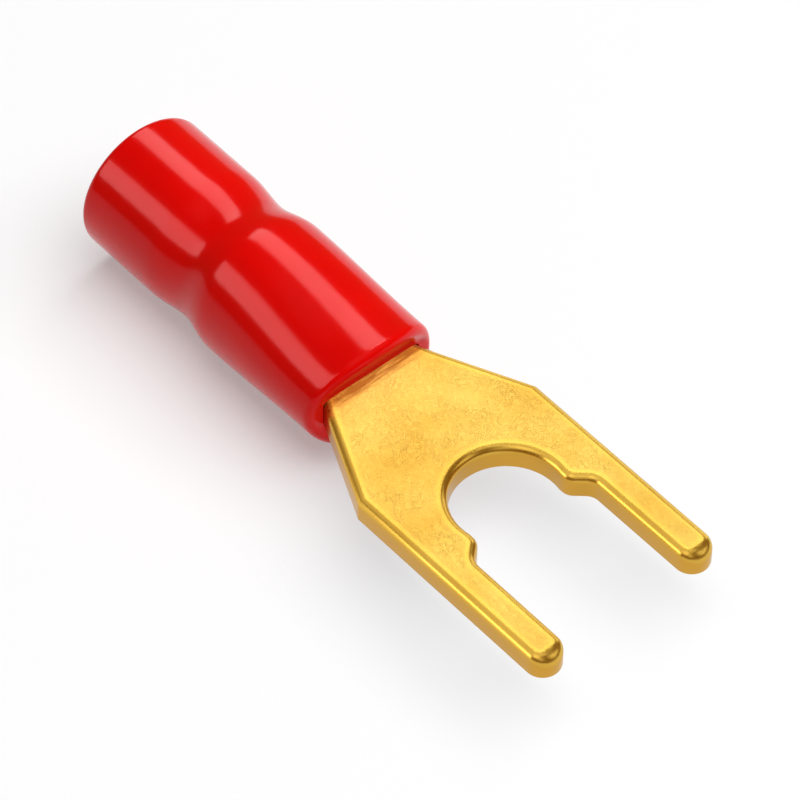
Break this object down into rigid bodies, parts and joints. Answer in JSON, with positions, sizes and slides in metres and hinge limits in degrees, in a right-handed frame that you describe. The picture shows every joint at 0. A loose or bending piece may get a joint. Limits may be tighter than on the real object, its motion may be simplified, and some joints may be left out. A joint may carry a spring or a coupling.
{
  "type": "insulated fork terminal",
  "caption": "Gold-plated fork terminal with an open stud slot, a wire barrel and a moulded red insulating sleeve, for ending a power cable at a screw post.",
  "frame": {"origin": "centre of the round stud seat, halfway through the thickness of the tongue, which is also on the barrel's axis", "axes": "+X along the terminal towards the prong tips, +Z along the stud's axis, out of the tongue's upper face"},
  "size_m": [0.0406, 0.0126, 0.0088],
  "materials": {
    "gold_plated_brass": "bright gold plating over a stamped and tumbled surface",
    "red_pvc": "glossy dip-moulded soft PVC"
  },
  "bodies": {
    "root": {"fork_terminal": "gold_plated_brass", "insulating_sleeve": "red_pvc"}
  },
  "joints": []
}
